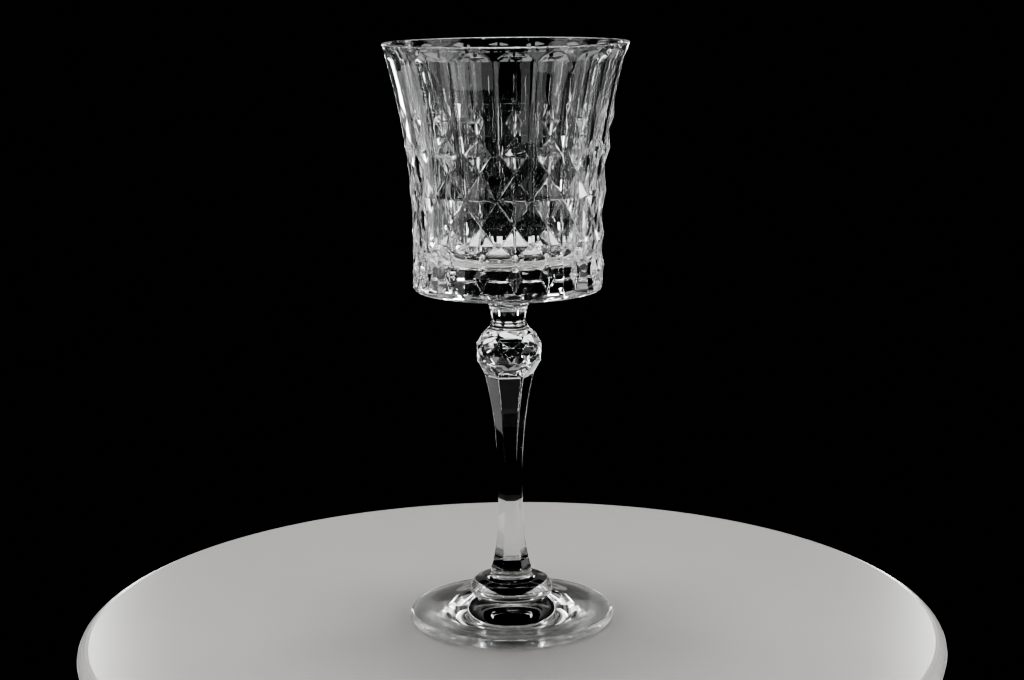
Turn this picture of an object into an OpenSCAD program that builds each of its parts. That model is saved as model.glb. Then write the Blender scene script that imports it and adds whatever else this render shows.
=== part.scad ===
// Stemmed wine glass in clear crystal: a diamond-cut bowl on a faceted knop and
// a six-sided stem, with a round collar, a button and a wide foot.
// The origin is the centre of the foot's underside, with +Z up, in millimetres.

/* [Foot] */
// Diameter of the foot
foot_d = 71.2; // [55:0.1:90]
// Height of the foot, from the table to the button
foot_h = 9.2; // [7:0.1:13]
// Thickness of the foot at its round edge
foot_edge = 3.4; // [2.4:0.1:4.5]
// Depth of the hollow under the foot
foot_hollow = 1.6; // [0.5:0.1:2.5]
// Width of the flat ring that touches the table
rest_w = 7; // [3:0.1:10]

/* [Button] */
// Diameter of the button at its widest
button_d = 28.7; // [24:0.1:34]
// Diameter of the button where it meets the foot
button_base_d = 26.8; // [22:0.1:30]
// Diameter of the button's sharp upper edge
button_top_d = 25.7; // [21:0.1:29]
// Height of the button, up to the collar
button_h = 5.2; // [4:0.1:7]

/* [Collar] */
// Ledge of the collar around the stem's corners
collar_ledge = 0.2; // [0.1:0.1:0.6]
// Width of the collar's flare onto the button
collar_flare = 1.9; // [1:0.1:2.6]
// Height of the collar
collar_h = 4; // [3:0.1:6]

/* [Stem] */
// Height of the six-sided stem
stem_h = 68.8; // [45:0.1:95]
// Distance across the corners at the stem's top
stem_top_d = 17.1; // [15:0.1:19]
// Distance across the corners at the stem's waist
stem_waist_d = 8.6; // [7:0.1:12]
// Distance across the corners at the stem's foot
stem_foot_d = 13.7; // [11:0.1:17]
// Height of the waist above the stem's foot
stem_waist_h = 29.8; // [20:0.1:40]

/* [Knop] */
// Distance across the corners of the knop's girdle
knop_d = 23; // [19:0.1:30]
// Distance across the corners of the knop's upper hexagon
knop_shoulder_d = 18; // [15.6:0.1:19]
// Height of the knop below its diamonds
knop_below = 5.2; // [3:0.1:7]
// Height of each diamond on the girdle
knop_diamond_h = 5.8; // [4:0.1:10]
// Height of the girdle's points above the diamonds' lower tips
knop_girdle_h = 3.6; // [2:0.1:3.8]
// Height of the knop above its diamonds
knop_above = 5; // [2.4:0.1:7]

/* [Neck] */
// Height of the neck
neck_h = 11.3; // [8:0.1:16]
// Diameter of the neck at its waist
neck_d = 12.1; // [9:0.1:15]
// Height of the neck's waist above the knop
neck_waist_h = 3.4; // [2:0.1:6]
// Width of the neck's flare onto the knop
neck_foot_flare = 1.2; // [0.4:0.1:1.4]
// Width of the neck's flare under the bowl
neck_top_flare = 3.4; // [2:0.1:7]

/* [Bowl] */
// Diameter of the rim
rim_d = 83.2; // [70:0.1:100]
// Diameter of the bowl's waist
bowl_waist_d = 64.3; // [56:0.1:80]
// Diameter of the bowl near its base
bowl_base_d = 65.3; // [57:0.1:81]
// Height of the bowl's waist above the neck
bowl_waist_h = 21.5; // [18:0.1:30]
// Rise of the bowl's underside from the neck to its edge
underside_rise = 2.4; // [1:0.1:4]
// Radius of the bowl's lower edge
base_round = 1.3; // [0.6:0.1:2]
// Height of the flutes above the top diamonds
flute_h = 14.8; // [8:0.1:30]
// Height over which the flutes run out below the rim
flute_fade = 3.5; // [2:0.1:8]
// Thickness of the glass at the rim
rim_wall = 1.6; // [1.3:0.1:2.2]
// Thickness of the glass behind the ridges, from the waist down
wall = 3.4; // [2.4:0.1:4.5]
// Thickness of the bowl's solid base above the neck
base_thick = 12; // [7:0.1:15]
// Radius inside the bowl, from its wall to its floor
floor_round = 7; // [3:0.1:12]

/* [Diamonds] */
// Number of columns of diamonds around the bowl
columns = 18; // [12:1:24]
// Turn of the first column about the axis, in degrees
column_turn = 4; // [-10:0.5:10]
// Height of the lowest diamond's tip above the neck
first_tip = 5.6; // [4.6:0.1:8]
// Lower halves of the five rows of diamonds, from the bottom row up
row_below = [5.1, 4.8, 8.1, 6.0, 5.1];
// Upper halves of the five rows of diamonds
row_above = [5.7, 6.5, 8.6, 5.9, 4.2];
// Half widths of the five rows of diamonds
row_half = [2.5, 4.4, 6.0, 4.3, 2.7];
// Height of each row's points above the flutes
row_relief = [0.7, 0.95, 1.05, 0.95, 0.65];

/* [Hidden] */
$fn = 96;
crystal = [0.86, 0.88, 0.9, 0.45];
button_slope = 0.6;              // fall of the button's top, from the collar to its edge
corner_gap = 0.12;               // left between a diamond and its flute's ridge
lip_steps = 4;                   // rings in a quarter of the rim's round
side_steps = 5;                  // rings between the top diamonds and the flutes' tops
fade_steps = 3;                  // rings where the flutes run out
stem_steps = 14;                 // rings in each half of the stem
curve_steps = 8;                 // points in a drawn curve
cutter_rise = 0.6;               // how far the cavity's cutter rises above the rim
lip_land = 0.2;                  // flat between the two rounds of the rim
inside_steps = 10;               // rings up the bowl's inside
tip_turn = 0.3;                  // half width of a diamond's tip, in degrees about the axis
belt_h = 0.9;                    // height of the band below the knop's diamonds
belt_in = 0.7;                   // how far that band slopes in
shoulder_h = 1.6;                // height of the knop's round top above its hexagon

pitch = 360 / columns;
stem_turn = column_turn + 1.5 * pitch;         // a corner of the stem under a ridge of the bowl
rows = len(row_below);
row_span = [for (i = [0:rows - 1]) row_below[i] + row_above[i]];
function total(list, n) = n == 0 ? 0 : list[n - 1] + total(list, n - 1);
function row_tip(i) = first_tip + total(row_span, i);

flute_top = row_tip(rows) + flute_h;
bowl_h = flute_top + flute_fade + rim_wall;
knop_h = knop_below + knop_diamond_h + knop_above;
collar_d = stem_foot_d + 2 * collar_ledge;
collar_base_d = collar_d + 2 * collar_flare;
neck_base_d = neck_d + 2 * neck_foot_flare;
neck_top_d = neck_d + 2 * neck_top_flare;

button_z = foot_h;
collar_z = button_z + button_h;
stem_z = collar_z + collar_h;
knop_z = stem_z + stem_h;
neck_z = knop_z + knop_h;
bowl_z = neck_z + neck_h;

// The point at a radius, an angle from -Y towards +X, and a height
function around(r, a, z) = [r * sin(a), -r * cos(a), z];
// An arc and an eased curve, both as points [radius, height]
function arc(centre, r, from, to, steps) = [
    for (i = [0:steps]) let (a = from + (to - from) * i / steps)
        centre + r * [cos(a), sin(a)]];
function eased(start, end, power, steps) = [
    for (i = [0:steps]) let (s = i / steps)
        [start[0] + (end[0] - start[0]) * s, start[1] + (end[1] - start[1]) * pow(s, power)]];

// Joins rings of equal length into a closed shell with flat ends
module loft(rings) {
    n = len(rings[0]);
    top = len(rings) - 1;
    sides = [for (k = [0:top - 1], i = [0:n - 1]) let (j = (i + 1) % n)
        each [[k * n + i, (k + 1) * n + i, k * n + j],
              [k * n + j, (k + 1) * n + i, (k + 1) * n + j]]];
    polyhedron([for (ring = rings) each ring],
               concat(sides, [[for (i = [0:n - 1]) i]],
                      [[for (i = [n - 1:-1:0]) top * n + i]]), convexity = 6);
}

// ---- foot: a flared disc with a round edge and a shallow hollow beneath ----
module foot() {
    foot_r = foot_d / 2;
    edge_r = foot_edge / 2;
    rest_out = foot_r - edge_r;
    color(crystal) rotate_extrude() polygon(concat(
        eased([0, foot_hollow], [rest_out - rest_w, 0], 2, curve_steps),
        arc([rest_out, edge_r], edge_r, -90, 75, curve_steps),
        eased([rest_out - edge_r, foot_edge], [button_base_d / 2, foot_h], 1.6, curve_steps),
        [[0, foot_h]]));
}

// ---- button: a round cushion with a sharp upper edge and a sloping top ----
module button() {
    base = [button_base_d / 2, 0];
    edge = [button_top_d / 2, button_h - button_slope];
    pull = [button_d - (base[0] + edge[0]) / 2, edge[1] * 0.3];
    color(crystal) translate([0, 0, button_z]) rotate_extrude() polygon(concat(
        [[0, 0]],
        [for (i = [0:curve_steps]) let (s = i / curve_steps)
            base * pow(1 - s, 2) + 2 * pull * s * (1 - s) + edge * pow(s, 2)],
        [[collar_base_d / 2, button_h], [0, button_h]]));
}

// ---- collar: a round ring that flares out onto the button ----
module collar() {
    color(crystal) translate([0, 0, collar_z]) rotate_extrude() polygon(concat(
        [[0, 0]],
        arc([collar_base_d / 2, collar_flare], collar_flare, 270, 180, curve_steps),
        [[collar_d / 2, collar_h], [0, collar_h]]));
}

// ---- stem: six flat sides that narrow to a waist ----
function stem_r(h) = h < stem_waist_h
    ? (stem_waist_d + (stem_foot_d - stem_waist_d) * pow(1 - h / stem_waist_h, 3.3)) / 2
    : (stem_waist_d + (stem_top_d - stem_waist_d)
       * pow((h - stem_waist_h) / (stem_h - stem_waist_h), 2.2)) / 2;

function hexagon(r, z) = [for (i = [0:5]) around(r, stem_turn + 60 * i, z)];

module stem() {
    levels = concat(
        [for (i = [0:stem_steps - 1]) stem_waist_h * i / stem_steps],
        [for (i = [0:stem_steps]) stem_waist_h + (stem_h - stem_waist_h) * i / stem_steps]);
    color(crystal) translate([0, 0, stem_z])
        loft([for (h = levels) hexagon(stem_r(h), h)]);
}

// ---- knop: a bead with a girdle of twelve diamonds between two hexagons ----
function ring_twelve(r, z, shift) = [for (i = [0:11])
    around(r, stem_turn + 30 * (i + shift), z)];
// A point at each corner and at each side's middle of a hexagon
function hexagon_twelve(r, z, shift) = [for (i = [shift:11 + shift])
    around(i % 2 == 0 ? r : r * cos(30), stem_turn + 30 * i, z)];

module knop() {
    girdle_r = knop_d / 2;
    face_r = girdle_r * cos(15);
    color(crystal) translate([0, 0, knop_z]) loft([
        hexagon_twelve(stem_top_d / 2, 0, 0),
        ring_twelve(face_r - belt_in, knop_below - belt_h, 0),
        ring_twelve(face_r, knop_below, 0),
        ring_twelve(girdle_r, knop_below + knop_girdle_h, 0.5),
        ring_twelve(face_r, knop_below + knop_diamond_h, 1),
        hexagon_twelve(knop_shoulder_d / 2, knop_h - shoulder_h, 1),
        ring_twelve(neck_base_d / 2, knop_h, 1)]);
}

// ---- neck: a round waist between the knop and the bowl ----
module neck() {
    neck_r = neck_d / 2;
    color(crystal) translate([0, 0, neck_z]) rotate_extrude() polygon(concat(
        [[0, 0]],
        [for (i = [0:curve_steps]) let (s = i / curve_steps)
            [neck_r + neck_foot_flare * pow(1 - s, 3), neck_waist_h * s]],
        [for (i = [1:curve_steps]) let (s = i / curve_steps)
            [neck_r + neck_top_flare * pow(s, 2.4), neck_waist_h + (neck_h - neck_waist_h) * s]],
        [[0, neck_h]]));
}

// ---- bowl: flutes all round, and a stack of diamonds down each flute ----
// Radius of the ridges between the flutes
function ridge_r(h) = h < bowl_waist_h
    ? (bowl_waist_d + (bowl_base_d - bowl_waist_d) * pow(1 - h / bowl_waist_h, 2)) / 2
    : (bowl_waist_d + (rim_d - bowl_waist_d)
       * pow((h - bowl_waist_h) / (bowl_h - bowl_waist_h), 2)) / 2;

// One ring of the outside, with each flute's ridge and its diamond's left edge, crest and right
// edge. The flutes are flat where round is 0, and part of a circle where it is 1.
function bowl_ring(h, r, round, turn, crest) = [for (c = [0:columns - 1])
    let (a = column_turn + c * pitch, flat = r * cos(pitch / 2),
         edge = r * round + flat / cos(turn) * (1 - round),
         middle = r * round + flat * (1 - round))
    each [around(r, a - pitch / 2, h), around(edge, a - turn, h),
          around(middle + crest, a, h), around(edge, a + turn, h)]];
function diamond_ring(h, half, crest) = let (flat = ridge_r(h) * cos(pitch / 2))
    bowl_ring(h, ridge_r(h), 0, atan(min(half, flat * tan(pitch / 2) - corner_gap) / flat), crest);
// A ring with no diamond: its edges stand closed at a tip, or open to a quarter of the pitch
function plain_ring(h, r, round, open) =
    bowl_ring(h, r, round, tip_turn + (pitch / 4 - tip_turn) * open, 0);

module bowl_outside() {
    lip_r = (rim_wall - lip_land) / 2;
    edge_h = underside_rise + base_round;
    edge_r = ridge_r(edge_h) - base_round;
    edge_arc = arc([edge_r, edge_h], base_round, -90, -10, lip_steps);
    lip_arc = arc([rim_d / 2 - lip_r, bowl_h - lip_r], lip_r, 0, 90, lip_steps);
    loft(concat(
        [plain_ring(0, neck_top_d / 2, 1, 1)],
        [for (i = [0:lip_steps]) plain_ring(edge_arc[i][1], edge_arc[i][0], 1 - 0.5 * i / lip_steps, 1)],
        [for (i = [0:rows - 1]) each [
            plain_ring(row_tip(i), ridge_r(row_tip(i)), 0, 0),
            diamond_ring(row_tip(i) + row_below[i], row_half[i], row_relief[i])]],
        [for (i = [0:side_steps]) let (s = i / side_steps, h = row_tip(rows) + flute_h * s)
            plain_ring(h, ridge_r(h), 0, s)],
        [for (i = [1:fade_steps]) let (s = i / fade_steps, h = flute_top + flute_fade * s)
            plain_ring(h, ridge_r(h), s * s * (3 - 2 * s), 1)],
        [for (p = lip_arc) plain_ring(p[1], p[0], 1, 1)]));
}

// The inside, as an outline [radius, height] from the floor to above the rim
function inside_r(h) = ridge_r(h) - rim_wall - (wall - rim_wall)
    * min(1, (bowl_h - h) / (bowl_h - bowl_waist_h));

module bowl_inside() {
    lip_r = (rim_wall - lip_land) / 2;
    lip_h = bowl_h - lip_r;
    lip_in = rim_d / 2 - rim_wall + lip_r;
    floor_h = base_thick + floor_round;
    lip_arc = arc([lip_in, lip_h], lip_r, 180, 90, lip_steps);
    rotate_extrude() polygon(concat(
        [[0, base_thick]],
        arc([inside_r(floor_h) - floor_round, floor_h], floor_round, -90, 0, curve_steps),
        [for (i = [1:inside_steps]) let (h = floor_h + (lip_h - 1 - floor_h) * i / inside_steps)
            [inside_r(h), h]],
        lip_arc,
        [[lip_in, bowl_h + cutter_rise], [0, bowl_h + cutter_rise]]));
}

module bowl() {
    color(crystal) translate([0, 0, bowl_z]) difference() {
        bowl_outside();
        bowl_inside();
    }
}

foot();
button();
collar();
stem();
knop();
neck();
bowl();
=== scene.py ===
# A stemmed wine glass in clear pressed crystal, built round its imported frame.
# Sizes in the dictionaries are millimetres. Heights start at each piece's own lower weld.
import math

import bpy
from mathutils import Matrix, Vector


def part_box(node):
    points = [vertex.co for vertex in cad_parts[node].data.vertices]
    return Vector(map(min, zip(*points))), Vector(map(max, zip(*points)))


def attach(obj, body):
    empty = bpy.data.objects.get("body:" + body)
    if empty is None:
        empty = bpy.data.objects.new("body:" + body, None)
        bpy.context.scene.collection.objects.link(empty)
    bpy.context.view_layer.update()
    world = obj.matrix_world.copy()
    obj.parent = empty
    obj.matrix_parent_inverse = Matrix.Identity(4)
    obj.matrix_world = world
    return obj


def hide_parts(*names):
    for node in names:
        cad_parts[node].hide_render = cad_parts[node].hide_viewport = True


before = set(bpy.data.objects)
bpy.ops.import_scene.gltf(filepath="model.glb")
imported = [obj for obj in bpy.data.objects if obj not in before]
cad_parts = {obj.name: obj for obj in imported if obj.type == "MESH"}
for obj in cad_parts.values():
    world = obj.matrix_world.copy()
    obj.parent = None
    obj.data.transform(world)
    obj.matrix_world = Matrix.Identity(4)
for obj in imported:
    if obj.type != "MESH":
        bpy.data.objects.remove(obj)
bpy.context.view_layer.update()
mm = 0.001
print("frame loaded")


# ---- small maths shared by the pieces ----
def smoothMax(a, b, soft):
    return 0.5 * (a + b + math.sqrt((a - b) ** 2 + soft * soft))


def smoothMin(a, b, soft):
    return -smoothMax(-a, -b, soft)


def mix(a, b, share):
    return a + (b - a) * share


def ease(share):
    return share * share * (3 - 2 * share)


def arc(centre, radius, start, end, steps):
    # points [radius, height] along a round edge, angles in degrees
    turns = [math.radians(mix(start, end, i / steps)) for i in range(steps + 1)]
    return [(centre[0] + radius * math.cos(t), centre[1] + radius * math.sin(t)) for t in turns]


def spread(length, soft, middles):
    # places along a flat stretch, close together beside the rounded creases at its ends
    near = min(soft, length / 6)
    ends = [0, near / 2, near, 2 * near]
    inner = [mix(2 * near, length - 2 * near, (i + 1) / (middles + 1)) for i in range(middles)]
    return ends + inner + [length - e for e in reversed(ends)]


def lowest(node):
    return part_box(node)[0][2] / mm


def highest(node):
    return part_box(node)[1][2] / mm


# ---- materials ----
def newMaterial(name):
    mat = bpy.data.materials.new(name)
    mat.use_nodes = True
    nodes = mat.node_tree.nodes
    return mat, nodes, mat.node_tree.links, nodes["Principled BSDF"]


crystal = {
    "tint": (0.985, 0.992, 0.99, 1),
    "ior": 1.54,
    "waveScale": 55,        # slow ripples left by the mould
    "waveDepth": 0.000004,
    "smearScale": 160,      # faint wiping marks
    "smearRough": 0.004,
}


def crystalMaterial(name, waveDepth, wornBelow):
    # clear glass: mould ripples in the bump, wiping marks and a worn resting ring in the roughness
    mat, nodes, links, glass = newMaterial(name)
    glass.inputs["Base Color"].default_value = crystal["tint"]
    glass.inputs["IOR"].default_value = crystal["ior"]
    glass.inputs["Transmission Weight"].default_value = 1
    place = nodes.new("ShaderNodeTexCoord")

    wave = nodes.new("ShaderNodeTexNoise")
    wave.inputs["Scale"].default_value = crystal["waveScale"]
    wave.inputs["Detail"].default_value = 2
    links.new(place.outputs["Object"], wave.inputs["Vector"])
    bump = nodes.new("ShaderNodeBump")
    bump.inputs["Strength"].default_value = 1
    bump.inputs["Distance"].default_value = waveDepth
    links.new(wave.outputs["Fac"], bump.inputs["Height"])
    links.new(bump.outputs["Normal"], glass.inputs["Normal"])

    smear = nodes.new("ShaderNodeTexNoise")
    smear.inputs["Scale"].default_value = crystal["smearScale"]
    smear.inputs["Detail"].default_value = 4
    links.new(place.outputs["Object"], smear.inputs["Vector"])
    rough = nodes.new("ShaderNodeMapRange")
    rough.inputs["From Min"].default_value = 0.55
    rough.inputs["From Max"].default_value = 0.8
    rough.inputs["To Min"].default_value = 0
    rough.inputs["To Max"].default_value = crystal["smearRough"]
    links.new(smear.outputs["Fac"], rough.inputs["Value"])

    height = nodes.new("ShaderNodeSeparateXYZ")
    links.new(place.outputs["Object"], height.inputs["Vector"])
    worn = nodes.new("ShaderNodeMapRange")
    worn.inputs["From Min"].default_value = 0
    worn.inputs["From Max"].default_value = wornBelow * mm
    worn.inputs["To Min"].default_value = 0.22
    worn.inputs["To Max"].default_value = 0
    links.new(height.outputs["Z"], worn.inputs["Value"])
    total = nodes.new("ShaderNodeMath")
    total.operation = "MAXIMUM"
    links.new(rough.outputs["Result"], total.inputs[0])
    links.new(worn.outputs["Result"], total.inputs[1])
    links.new(total.outputs["Value"], glass.inputs["Roughness"])
    return mat


def weldMaterial():
    # the fused faces inside the glass: nothing bends or shines where one piece runs into the next
    mat, nodes, links, glass = newMaterial("fusedWeld")
    glass.inputs["Base Color"].default_value = (1, 1, 1, 1)
    glass.inputs["Roughness"].default_value = 0
    glass.inputs["IOR"].default_value = 1
    glass.inputs["Transmission Weight"].default_value = 1
    glass.inputs["Specular IOR Level"].default_value = 0
    return mat


clearCrystal = crystalMaterial("clearCrystal", crystal["waveDepth"], 0.12)
cutCrystal = crystalMaterial("cutCrystal", crystal["waveDepth"] / 2, 0.12)
fusedWeld = weldMaterial()
print("materials ready")


# ---- Geometry Nodes: a wedge turned all round the axis ----
def turningTree():
    tree = bpy.data.node_groups.new("turnedWedge", "GeometryNodeTree")
    face = tree.interface
    face.new_socket("Wedge", in_out="INPUT", socket_type="NodeSocketGeometry")
    face.new_socket("Count", in_out="INPUT", socket_type="NodeSocketInt")
    face.new_socket("Join Distance", in_out="INPUT", socket_type="NodeSocketFloat")
    face.new_socket("Glass", in_out="INPUT", socket_type="NodeSocketMaterial")
    face.new_socket("Weld", in_out="INPUT", socket_type="NodeSocketMaterial")
    face.new_socket("Glassware", in_out="OUTPUT", socket_type="NodeSocketGeometry")
    nodes, links = tree.nodes, tree.links
    given = nodes.new("NodeGroupInput")
    result = nodes.new("NodeGroupOutput")

    points = nodes.new("GeometryNodeMeshLine")      # all at the origin, one for each wedge
    points.inputs["Offset"].default_value = (0, 0, 0)
    links.new(given.outputs["Count"], points.inputs["Count"])
    step = nodes.new("ShaderNodeMath")
    step.operation = "DIVIDE"
    step.inputs[0].default_value = 2 * math.pi
    links.new(given.outputs["Count"], step.inputs[1])
    number = nodes.new("GeometryNodeInputIndex")
    turn = nodes.new("ShaderNodeMath")
    turn.operation = "MULTIPLY"
    links.new(number.outputs["Index"], turn.inputs[0])
    links.new(step.outputs["Value"], turn.inputs[1])
    aboutZ = nodes.new("ShaderNodeCombineXYZ")
    links.new(turn.outputs["Value"], aboutZ.inputs["Z"])

    wedges = nodes.new("GeometryNodeInstanceOnPoints")
    links.new(points.outputs["Mesh"], wedges.inputs["Points"])
    links.new(given.outputs["Wedge"], wedges.inputs["Instance"])
    links.new(aboutZ.outputs["Vector"], wedges.inputs["Rotation"])
    real = nodes.new("GeometryNodeRealizeInstances")
    links.new(wedges.outputs["Instances"], real.inputs["Geometry"])
    joined = nodes.new("GeometryNodeMergeByDistance")
    links.new(real.outputs["Geometry"], joined.inputs["Geometry"])
    links.new(given.outputs["Join Distance"], joined.inputs["Distance"])
    glass = nodes.new("GeometryNodeSetMaterial")
    links.new(joined.outputs["Geometry"], glass.inputs["Geometry"])
    links.new(given.outputs["Glass"], glass.inputs["Material"])
    welded = nodes.new("GeometryNodeInputNamedAttribute")
    welded.data_type = "BOOLEAN"
    welded.inputs["Name"].default_value = "weld"
    weld = nodes.new("GeometryNodeSetMaterial")
    links.new(glass.outputs["Geometry"], weld.inputs["Geometry"])
    flag = [s for s in welded.outputs if s.enabled and s.type == "BOOLEAN" and s.name == "Attribute"][0]
    links.new(flag, weld.inputs["Selection"])
    links.new(given.outputs["Weld"], weld.inputs["Material"])
    links.new(weld.outputs["Geometry"], result.inputs["Glassware"])
    return tree


turnedWedge = turningTree()


def wedgeMesh(name, rings, weldRings):
    # a wedge of the wall: rings run from one pole on the axis to the other, each with as many
    # points across. weldRings are the stretches between rings that are fused faces.
    count = len(rings[0])
    points, numbers = [], []
    for ring in rings:
        if ring[0] == ring[-1]:
            numbers.append([len(points)] * count)
            points.append(ring[0])
        else:
            numbers.append(list(range(len(points), len(points) + count)))
            points.extend(ring)
    faces, weld = [], []
    for k in range(len(rings) - 1):
        for i in range(count - 1):
            corners = [numbers[k][i], numbers[k][i + 1], numbers[k + 1][i + 1], numbers[k + 1][i]]
            kept = [c for j, c in enumerate(corners) if c != corners[j - 1]]
            faces.append(kept)
            weld.append(k in weldRings)
    mesh = bpy.data.meshes.new(name)
    mesh.from_pydata([(x * mm, y * mm, z * mm) for x, y, z in points], [], faces)
    mesh.attributes.new("weld", "BOOLEAN", "FACE").data.foreach_set("value", weld)
    mesh.polygons.foreach_set("use_smooth", [True] * len(faces))
    return mesh


def plainMesh(piece):
    # the evaluated piece as a plain mesh, with its modifiers gone
    bpy.context.view_layer.update()
    ready = piece.evaluated_get(bpy.context.evaluated_depsgraph_get())
    mesh = bpy.data.meshes.new_from_object(ready)
    mesh.name = piece.name
    piece.modifiers.clear()
    piece.data = mesh


def turnedPiece(name, rings, weldRings, count, glass, node):
    piece = bpy.data.objects.new(name, wedgeMesh(name, rings, weldRings))
    bpy.context.scene.collection.objects.link(piece)
    turned = piece.modifiers.new("turned", "NODES")
    turned.node_group = turnedWedge
    keys = {s.name: s.identifier for s in turnedWedge.interface.items_tree if s.in_out == "INPUT"}
    turned[keys["Count"]] = count
    turned[keys["Join Distance"]] = 0.004 * mm
    turned[keys["Glass"]] = glass
    turned[keys["Weld"]] = fusedWeld
    plainMesh(piece)
    even = piece.modifiers.new("even", "WEIGHTED_NORMAL")
    even.weight = 60
    plainMesh(piece)
    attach(piece, "root")
    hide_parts(node)
    print(name, len(piece.data.polygons), "faces")
    return piece


def polar(radius, turn, height):
    # a turn of 0 faces -Y, and grows towards +X
    return (radius * math.sin(turn), -radius * math.cos(turn), height)


def pole(height, ring):
    return [(0, 0, height)] * len(ring)


# ---- bowl: flutes all round, and a stack of diamonds down each ----
bowl = {
    "columns": 18,
    "turn": 4,                  # the first column, in degrees from -Y towards +X
    "waist": 32.15,             # radius of the flutes' ridges at the waist
    "base": 32.65,
    "rim": 41.6,
    "waistHeight": 21.5,
    "neck": 9.45,               # radius of the weld to the neck
    "undersideRise": 2.4,
    "baseRound": 1.3,
    "firstTip": 5.6,
    "fluteHeight": 14.8,
    "fluteFade": 3.5,
    "rimWall": 1.6,
    "wall": 3.4,
    "baseThick": 12,
    "floorRound": 7,
    "soft": 0.14,               # half width of a rounded crease
    "hollow": 0.12,             # how far the flutes are hollowed
    "bead": 0.09,               # fine raised line along the creases, and groove round each diamond
    "beadWidth": 0.16,
    # the rows of diamonds from the bottom: lower half, upper half, half width, height of the point
    "rows": [(5.1, 5.7, 2.5, 1.0), (4.8, 6.5, 4.4, 1.25), (8.1, 8.6, 6.0, 1.4),
             (6.0, 5.9, 4.3, 1.3), (5.1, 4.2, 2.7, 1.0)],
}


def ridgeRadius(height):
    waist, low = bowl["waist"], bowl["waistHeight"]
    if height < low:
        return waist + (bowl["base"] - waist) * (1 - height / low) ** 2
    return waist + (bowl["rim"] - waist) * ((height - low) / (bowlTall - low)) ** 2


def fineLine(away):
    # a narrow rounded line, 1 on the line itself
    return math.exp(-(away / bowl["beadWidth"]) ** 2)


def diamondHeight(across, height):
    # how far the diamonds stand off the flute at a place across it
    total, tip = 0, bowl["firstTip"]
    for below, above, half, point in bowl["rows"]:
        middle = tip + below
        if tip - 0.5 <= height <= tip + below + above + 0.5:
            tall = above if height > middle else below
            upright = smoothMax((height - middle) / above, (middle - height) / below, bowl["soft"] / below)
            sideways = math.sqrt(across ** 2 + bowl["soft"] ** 2) / half
            inside = 1 - upright - sideways
            total += point * smoothMax(0, inside, bowl["soft"] / half)
            edgeAway = inside * half * tall / math.hypot(half, tall)
            fade = ease(min(1, max(0, inside * 4)))
            crease = max(fineLine(across), fineLine(height - middle)) * fade
            total += bowl["bead"] * (crease - fineLine(edgeAway))
        tip += below + above
    return total


def halfWidth(height):
    # half the width of the diamond at this height, 0 above and below the diamonds
    tip = bowl["firstTip"]
    for below, above, half, point in bowl["rows"]:
        if tip <= height <= tip + below + above:
            middle = tip + below
            away = (height - middle) / above if height > middle else (middle - height) / below
            return half * (1 - away)
        tip += below + above
    return 0


def bowlRing(height, radius, roundShare, open, arch=0):
    # one ring of the wedge from ridge to ridge, finer beside the creases. The wall is round where
    # roundShare is 1. As arch grows to 1 the flute runs out, first beside its ridges.
    pitch = 2 * math.pi / bowl["columns"]
    flat = radius * math.cos(pitch / 2)
    panel = radius * math.sin(pitch / 2)
    edge = min(max(halfWidth(height), 0.15), panel - 0.12)
    edge = mix(edge, panel / 2, open)
    inner = spread(edge, bowl["beadWidth"] * 2, 1)
    right = inner + [edge + s for s in spread(panel - edge, bowl["beadWidth"] * 2, 1)][1:]
    right[-1] = panel

    def fluteReach(turn):
        reach = flat / math.cos(turn)
        for settle in range(3):
            across = reach * math.sin(turn)
            stand = diamondHeight(across, height) * (1 - roundShare)
            hollow = bowl["hollow"] * max(0, 1 - (across / panel) ** 2)
            reach = (flat + (radius - flat + bowl["hollow"]) * arch + stand - hollow) / math.cos(turn)
        return reach

    points = []
    for across in [-s for s in reversed(right[1:])] + right:
        turn = math.copysign(pitch / 2, across) if abs(across) == panel else math.atan2(across, flat)
        reach = smoothMin(fluteReach(abs(turn)), fluteReach(pitch - abs(turn)), 0.05)
        if arch > 0:
            reach = smoothMin(reach, radius, 0.03)
        points.append(polar(mix(reach, radius, roundShare), turn + math.radians(bowl["turn"]), height))
    return points


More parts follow.
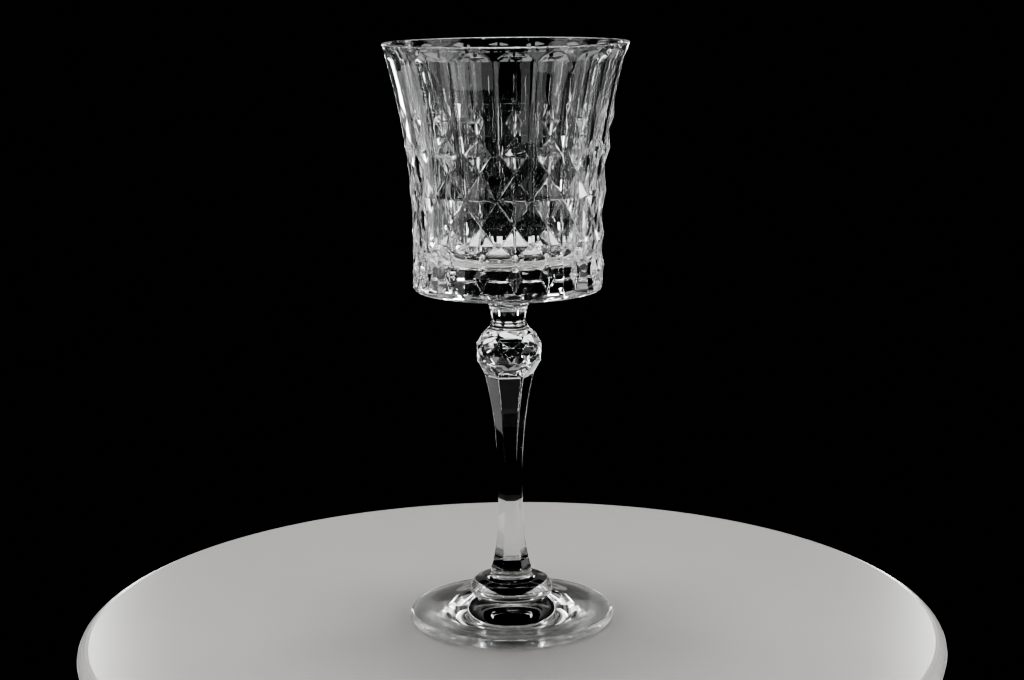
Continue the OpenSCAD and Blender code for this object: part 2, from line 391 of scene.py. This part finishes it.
def bowlRings():
    rowTops = [bowl["firstTip"]]
    for below, above, half, point in bowl["rows"]:
        rowTops += [rowTops[-1] + below, rowTops[-1] + below + above]
    fluteTop = rowTops[-1] + bowl["fluteHeight"]
    soft = bowl["beadWidth"] * 2
    rings = [bowlRing(0, bowl["neck"], 1, 1)]
    rings.insert(0, pole(0, rings[0]))
    edgeHeight = bowl["undersideRise"] + bowl["baseRound"]
    edgeRadius = ridgeRadius(edgeHeight) - bowl["baseRound"]
    for i in range(1, 4):
        share = i / 4
        rings.append(bowlRing(bowl["undersideRise"] * share, mix(bowl["neck"], edgeRadius, share), 1, 1))
    corner = arc((edgeRadius, edgeHeight), bowl["baseRound"], -90, 0, 8)
    for i, (radius, height) in enumerate(corner):
        rings.append(bowlRing(height, radius, 1 - 0.6 * ease(i / 8), 1))
    for i in range(1, 5):
        share = i / 5
        height = mix(edgeHeight, rowTops[0], share)
        rings.append(bowlRing(height, ridgeRadius(height), 0.4 * (1 - ease(share)), 1 - share))
    for low, high in zip(rowTops, rowTops[1:]):
        for rise in spread(high - low, soft, 2)[:-1]:
            rings.append(bowlRing(low + rise, ridgeRadius(low + rise), 0, 0))
    for i in range(11):
        height = mix(rowTops[-1], fluteTop, i / 10)
        rings.append(bowlRing(height, ridgeRadius(height), 0, i / 10))
    for i in range(1, 15):
        height = fluteTop + bowl["fluteFade"] * i / 14
        rings.append(bowlRing(height, ridgeRadius(height), 0, 1, (i / 14) ** 1.2))
    lip = bowl["rimWall"] / 2
    for radius, height in arc((bowl["rim"] - lip, bowlTall - lip), lip, 0, 180, 12)[1:]:
        rings.append(bowlRing(height, radius, 1, 1))
    inside = []
    floor = bowl["baseThick"] + bowl["floorRound"]
    for i in range(1, 17):
        height = mix(bowlTall - lip, floor, i / 16)
        fall = min(1, (bowlTall - height) / (bowlTall - bowl["waistHeight"]))
        thick = mix(bowl["rimWall"], bowl["wall"], fall)
        inside.append((ridgeRadius(height) - thick, height))
    floorEdge = inside[-1][0] - bowl["floorRound"]
    inside += arc((floorEdge, floor), bowl["floorRound"], 0, -90, 8)[1:]
    inside += [(floorEdge * share, bowl["baseThick"]) for share in (0.66, 0.33)]
    for radius, height in inside:
        rings.append(bowlRing(height, radius, 1, 1))
    rings.append(pole(bowl["baseThick"], rings[0]))
    return rings


bowlLow = lowest("bowl")
bowlTall = highest("bowl") - bowlLow
rings = [[(x, y, z + bowlLow) for x, y, z in ring] for ring in bowlRings()]
bowlPiece = turnedPiece("cutBowl", rings, {0}, bowl["columns"], cutCrystal, "bowl")


# ---- round pieces: an outline turned about the axis ----
def roundPiece(name, outline, node, welds):
    # outline runs from pole to pole as [radius, height], counted from the piece's lower weld
    low = lowest(node)
    parts, across = 16, 12
    turns = [2 * math.pi / parts * i / across for i in range(across + 1)]
    rings = [[polar(radius, turn, low + height) for turn in turns] for radius, height in outline]
    return turnedPiece(name, rings, welds, parts, clearCrystal, node)


neck = {"waist": 6.05, "waistHeight": 3.4, "footFlare": 1.2, "topFlare": 3.4, "steps": 24}


def neckOutline(tall):
    outline, waist = [(0, 0)], neck["waistHeight"]
    for i in range(neck["steps"]):
        share = i / neck["steps"]
        outline.append((neck["waist"] + neck["footFlare"] * (1 - share) ** 3, waist * share))
    for i in range(neck["steps"] + 1):
        share = i / neck["steps"]
        outline.append((neck["waist"] + neck["topFlare"] * share ** 2.4, mix(waist, tall, share)))
    return outline + [(0, tall)]


outline = neckOutline(highest("neck") - lowest("neck"))
neckPiece = roundPiece("neck", outline, "neck", {0, len(outline) - 2})

button = {"base": 13.4, "edge": 12.85, "slope": 0.6, "belly": 15.575, "edgeRound": 0.25, "weld": 8.95}


def buttonOutline(tall):
    base = (button["base"], 0)
    edge = (button["edge"], tall - button["slope"])
    pull = (button["belly"], edge[1] * 0.3)
    outline = [(0, 0)]
    for i in range(21):
        s = i / 21
        outline.append(tuple(b * (1 - s) ** 2 + 2 * p * s * (1 - s) + e * s * s
                             for b, p, e in zip(base, pull, edge)))
    outline += arc((edge[0] - button["edgeRound"], edge[1] - 0.1), button["edgeRound"], 20, 85, 5)
    outline += [(11.4, tall - 0.35), (10.1, tall - 0.12)]
    return outline + [(button["weld"], tall), (0, tall)]


outline = buttonOutline(highest("button") - lowest("button"))
buttonPiece = roundPiece("button", outline, "button", {0, len(outline) - 2})

foot = {"radius": 35.6, "edge": 3.4, "hollow": 1.6, "rest": 7, "button": 13.4, "flare": 1.6}


def footOutline(tall):
    edge = foot["edge"] / 2
    restOut = foot["radius"] - edge
    restIn = restOut - foot["rest"]
    outline = [(restIn * i / 24, foot["hollow"] * (1 - (i / 24) ** 2)) for i in range(25)]
    outline += [(mix(restIn, restOut, share), 0) for share in (0.33, 0.66)]
    outline += arc((restOut, edge), edge, -90, 75, 16)
    outer = restOut - edge
    for i in range(1, 29):
        share = i / 28
        outline.append((mix(outer, foot["button"], share), mix(foot["edge"], tall, share ** foot["flare"])))
    return outline + [(0, tall)]


outline = footOutline(highest("foot") - lowest("foot"))
footPiece = roundPiece("foot", outline, "foot", {len(outline) - 2})

# ---- stem: six flats with softened corners ----
stem = {"turn": 34, "top": 8.55, "waist": 4.3, "foot": 6.85, "waistHeight": 29.8,
        "topPower": 2.2, "footPower": 3.3, "soft": 0.08, "steps": 90}


def stemRadius(height, tall):
    low = stem["waistHeight"]
    if height < low:
        return mix(stem["waist"], stem["foot"], (1 - height / low) ** stem["footPower"])
    return mix(stem["waist"], stem["top"], ((height - low) / (tall - low)) ** stem["topPower"])


def sixthTurns(steps):
    # a sixth of the way round, from the middle of one flat over its corner to the next
    half = [(i / steps) ** 1.6 for i in range(steps + 1)]
    return [-math.pi / 6 * h for h in reversed(half)] + [math.pi / 6 * h for h in half[1:]]


def sixthRing(reachAt, height, steps):
    return [polar(reachAt(t), t + math.radians(stem["turn"]), height) for t in sixthTurns(steps)]


def hexagonReach(turn, corner, soft):
    flat = corner * math.cos(math.pi / 6)
    return smoothMin(flat / math.cos(turn + math.pi / 6), flat / math.cos(turn - math.pi / 6), soft)


def stemRings(low, tall):
    rings = []
    for i in range(stem["steps"] + 1):
        height = tall * i / stem["steps"]
        corner = stemRadius(height, tall)
        rings.append(sixthRing(lambda t: hexagonReach(t, corner, stem["soft"]), low + height, 8))
    return [pole(low, rings[0])] + rings + [pole(low + tall, rings[0])]


rings = stemRings(lowest("stem"), highest("stem") - lowest("stem"))
stemPiece = turnedPiece("stem", rings, {0, len(rings) - 2}, 6, clearCrystal, "stem")

# ---- collar: a round ring under the stem's corners that flares out onto the button ----
collar = {"ledge": 7.05, "flare": 1.9, "round": 0.15}


def collarRings(low, tall):
    base = collar["ledge"] + collar["flare"]
    outline = arc((base, collar["flare"]), collar["flare"], 270, 180, 12)
    outline += arc((collar["ledge"] - collar["round"], tall - collar["round"]), collar["round"], 0, 90, 4)
    rings = [sixthRing(lambda t: radius, low + height, 8) for radius, height in outline]
    top = sixthRing(lambda t: hexagonReach(t, stem["foot"], stem["soft"]), low + tall, 8)
    return [pole(low, top)] + rings + [top, pole(low + tall, top)]


rings = collarRings(lowest("collar"), highest("collar") - lowest("collar"))
collarPiece = turnedPiece("collar", rings, {0, len(rings) - 2}, 6, clearCrystal, "collar")

# ---- knop: a bead with a girdle of diamonds between two hexagons ----
knop = {"girdle": 11.5, "girdleHeight": 3.6, "shoulder": 9, "below": 5.2, "diamond": 5.8,
        "beltHeight": 0.9, "beltIn": 0.7, "top": 7.25, "shoulderHeight": 1.6, "soft": 0.06}


def knopReach(turn, height, tall):
    # the bead is what all its facets leave, and a facet is [turn, distance from the axis]
    face = knop["girdle"] * math.cos(math.pi / 12)
    middle = knop["below"] + knop["girdleHeight"]
    upper = knop["below"] + knop["diamond"]
    shoulder = tall - knop["shoulderHeight"]
    corner = knop["shoulder"]
    side = corner * math.cos(math.pi / 6)
    away = abs(turn)
    reach = upper - middle if height > middle else middle - knop["below"]
    tip = mix(knop["girdle"], face * math.cos(math.pi / 12), abs(height - middle) / reach)
    facets = [(0, face), (30, face), (15, tip)]
    if height > middle:
        rise = (shoulder - height) / (shoulder - upper)
        facets += [(0, mix(corner, face, rise)), (30, mix(side, face, rise)), (-30, mix(side, face, rise))]
    low = knop["below"] - knop["beltHeight"]
    if height <= knop["below"]:
        share = height / low
        flat = mix(stem["top"] * math.cos(math.pi / 6), face - knop["beltIn"], share)
        taper = [(0, mix(stem["top"], face - knop["beltIn"], share)), (30, flat), (-30, flat)]
        belt = mix(face - knop["beltIn"], face, (height - low) / knop["beltHeight"])
        taperReach = 99
        for angle, distance in taper:
            taperReach = smoothMin(taperReach, distance / math.cos(away - math.radians(angle)), knop["soft"])
        beltReach = smoothMin(belt / math.cos(away), belt / math.cos(away - math.pi / 6), knop["soft"])
        return smoothMax(taperReach, beltReach, 0.02)
    reach = 99
    for angle, distance in facets:
        reach = smoothMin(reach, distance / math.cos(away - math.radians(angle)), knop["soft"])
    if height > shoulder:
        hexagon = hexagonReach(turn, corner, knop["soft"])
        return mix(hexagon, knop["top"], (height - shoulder) / knop["shoulderHeight"])
    return reach


def knopRings(low, tall):
    heights = spread(knop["below"] - knop["beltHeight"], 0.2, 5)[:-1]
    marks = [knop["below"] - knop["beltHeight"], knop["below"], knop["below"] + knop["girdleHeight"],
             knop["below"] + knop["diamond"], tall - knop["shoulderHeight"], tall]
    for start, end in zip(marks, marks[1:]):
        steps = max(6, round((end - start) / 0.18))
        heights += [mix(start, end, i / steps) for i in range(steps)]
    heights.append(tall)
    rings = [sixthRing(lambda t: knopReach(t, height, tall), low + height, 20) for height in heights]
    return [pole(low, rings[0])] + rings + [pole(low + tall, rings[0])]


rings = knopRings(lowest("knop"), highest("knop") - lowest("knop"))
knopPiece = turnedPiece("knop", rings, {0, len(rings) - 2}, 6, cutCrystal, "knop")
print("glass pieces done")


# ---- stage: pale round table top, dark backdrop, soft lights ----
stage = {"radius": 0.15, "thick": 0.02, "edge": 0.004, "under": 0.00015, "tone": (0.62, 0.61, 0.59, 1),
         "rough": 0.25, "grain": 90}      # metres


def stageMaterial():
    mat, nodes, links, paint = newMaterial("paleTable")
    paint.inputs["Base Color"].default_value = stage["tone"]
    grain = nodes.new("ShaderNodeTexNoise")
    grain.inputs["Scale"].default_value = stage["grain"]
    place = nodes.new("ShaderNodeTexCoord")
    links.new(place.outputs["Object"], grain.inputs["Vector"])
    rough = nodes.new("ShaderNodeMapRange")
    rough.inputs["To Min"].default_value = stage["rough"] - 0.04
    rough.inputs["To Max"].default_value = stage["rough"] + 0.04
    links.new(grain.outputs["Fac"], rough.inputs["Value"])
    links.new(rough.outputs["Result"], paint.inputs["Roughness"])
    return mat


def tableTop():
    inner = stage["radius"] - stage["edge"]
    outline = [(0, -stage["thick"]), (inner, -stage["thick"])]
    outline += arc((inner, -stage["edge"]), stage["edge"], -20, 90, 6)
    outline.append((0, 0))
    count = 128
    turns = [2 * math.pi * i / count for i in range(count)]
    points = [(r * math.sin(t), r * math.cos(t), z - stage["under"]) for r, z in outline[1:-1] for t in turns]
    faces = [tuple(reversed(range(count)))]
    for k in range(len(outline) - 3):
        faces += [(count * k + i, count * (k + 1) + i, count * (k + 1) + (i + 1) % count,
                   count * k + (i + 1) % count) for i in range(count)]
    faces.append(tuple(range(len(points) - count, len(points))))
    mesh = bpy.data.meshes.new("table")
    mesh.from_pydata(points, [], faces)
    mesh.materials.append(stageMaterial())
    table = bpy.data.objects.new("table", mesh)
    bpy.context.scene.collection.objects.link(table)


lights = {
    # turns are in degrees about the glass and sizes in metres; aim is the height that a light faces
    "side": {"turns": (-70, 70), "away": 0.9, "height": 0.35, "wide": 0.65, "tall": 0.9, "bright": 1.4,
             "aim": 0.2},                # the two tall boxes left and right of the camera
    "rear": {"turns": (-118.3, 118.3), "away": 0.9, "height": 0.3, "wide": 0.2, "tall": 0.8, "bright": 1.2,
             "aim": 0.2},                # and two behind them
    "strip": {"turns": [22.5 + 45 * i for i in range(8)], "away": 1, "height": 0.27, "wide": 0.03,
              "tall": 0.5, "bright": 13, "aim": 0.2},      # narrow upright strips all round
    "low": {"turns": [30 * i for i in range(1, 12)], "away": 0.6, "height": -0.225, "wide": 0.2,
            "tall": 0.28, "bright": 1.3, "aim": 2},        # below the table top, with a gap in front
    "high": {"turns": [11.25 + 22.5 * i for i in range(16)], "away": 1.05, "height": 0.34, "wide": 0.4,
             "tall": 0.2, "bright": 0.25, "aim": 0.2},     # a ring above the rim's height
    "above": {"turns": (180,), "away": 0.1, "height": 1, "wide": 0.35, "tall": 0.35, "bright": 12, "aim": 0},
}
backdrop = (0.003, 0.003, 0.0034, 1)


def softBox(name, box, turn):
    # a soft light at a turn about the glass, as bright all over as its "bright" says
    lamp = bpy.data.lights.new(name, "AREA")
    lamp.shape = "RECTANGLE"
    lamp.size, lamp.size_y = box["wide"], box["tall"]
    lamp.energy = box["bright"] * math.pi * box["wide"] * box["tall"]
    light = bpy.data.objects.new(name, lamp)
    light.location = polar(box["away"], math.radians(turn), box["height"])
    light.rotation_euler = (Vector((0, 0, box["aim"])) - light.location).to_track_quat("-Z", "Y").to_euler()
    light.visible_camera = False
    bpy.context.scene.collection.objects.link(light)


def studio():
    world = bpy.data.worlds.new("studio")
    world.use_nodes = True
    world.node_tree.nodes["Background"].inputs["Color"].default_value = backdrop
    bpy.context.scene.world = world
    bpy.context.scene.view_settings.look = "AgX - High Contrast"
    for name, box in lights.items():
        for i, turn in enumerate(box["turns"]):
            softBox("%s%d" % (name, i), box, turn)


tableTop()
studio()

# ---- camera: a long lens a little above the rim, looking slightly down ----
view = {"away": 0.651, "height": 0.2256, "down": 11.02, "roll": 0.59, "aside": 0.095, "lens": 68.05,
        "sensor": 36}


def placeCamera():
    lens = bpy.data.cameras.new("camera")
    lens.sensor_width = view["sensor"]
    lens.lens = view["lens"]
    camera = bpy.data.objects.new("camera", lens)
    camera.location = (0, -view["away"], view["height"])
    turn = Matrix.Rotation(math.radians(-view["aside"]), 4, "Z")
    tilt = Matrix.Rotation(math.radians(90 - view["down"]), 4, "X")
    roll = Matrix.Rotation(math.radians(-view["roll"]), 4, "Z")
    camera.rotation_euler = (turn @ tilt @ roll).to_euler()
    bpy.context.scene.collection.objects.link(camera)
    bpy.context.scene.camera = camera


placeCamera()
bpy.context.scene.cycles.max_bounces = 32
bpy.context.scene.cycles.transmission_bounces = 32
bpy.context.scene.cycles.glossy_bounces = 16
bpy.context.scene.cycles.transparent_max_bounces = 16
print("stage ready")
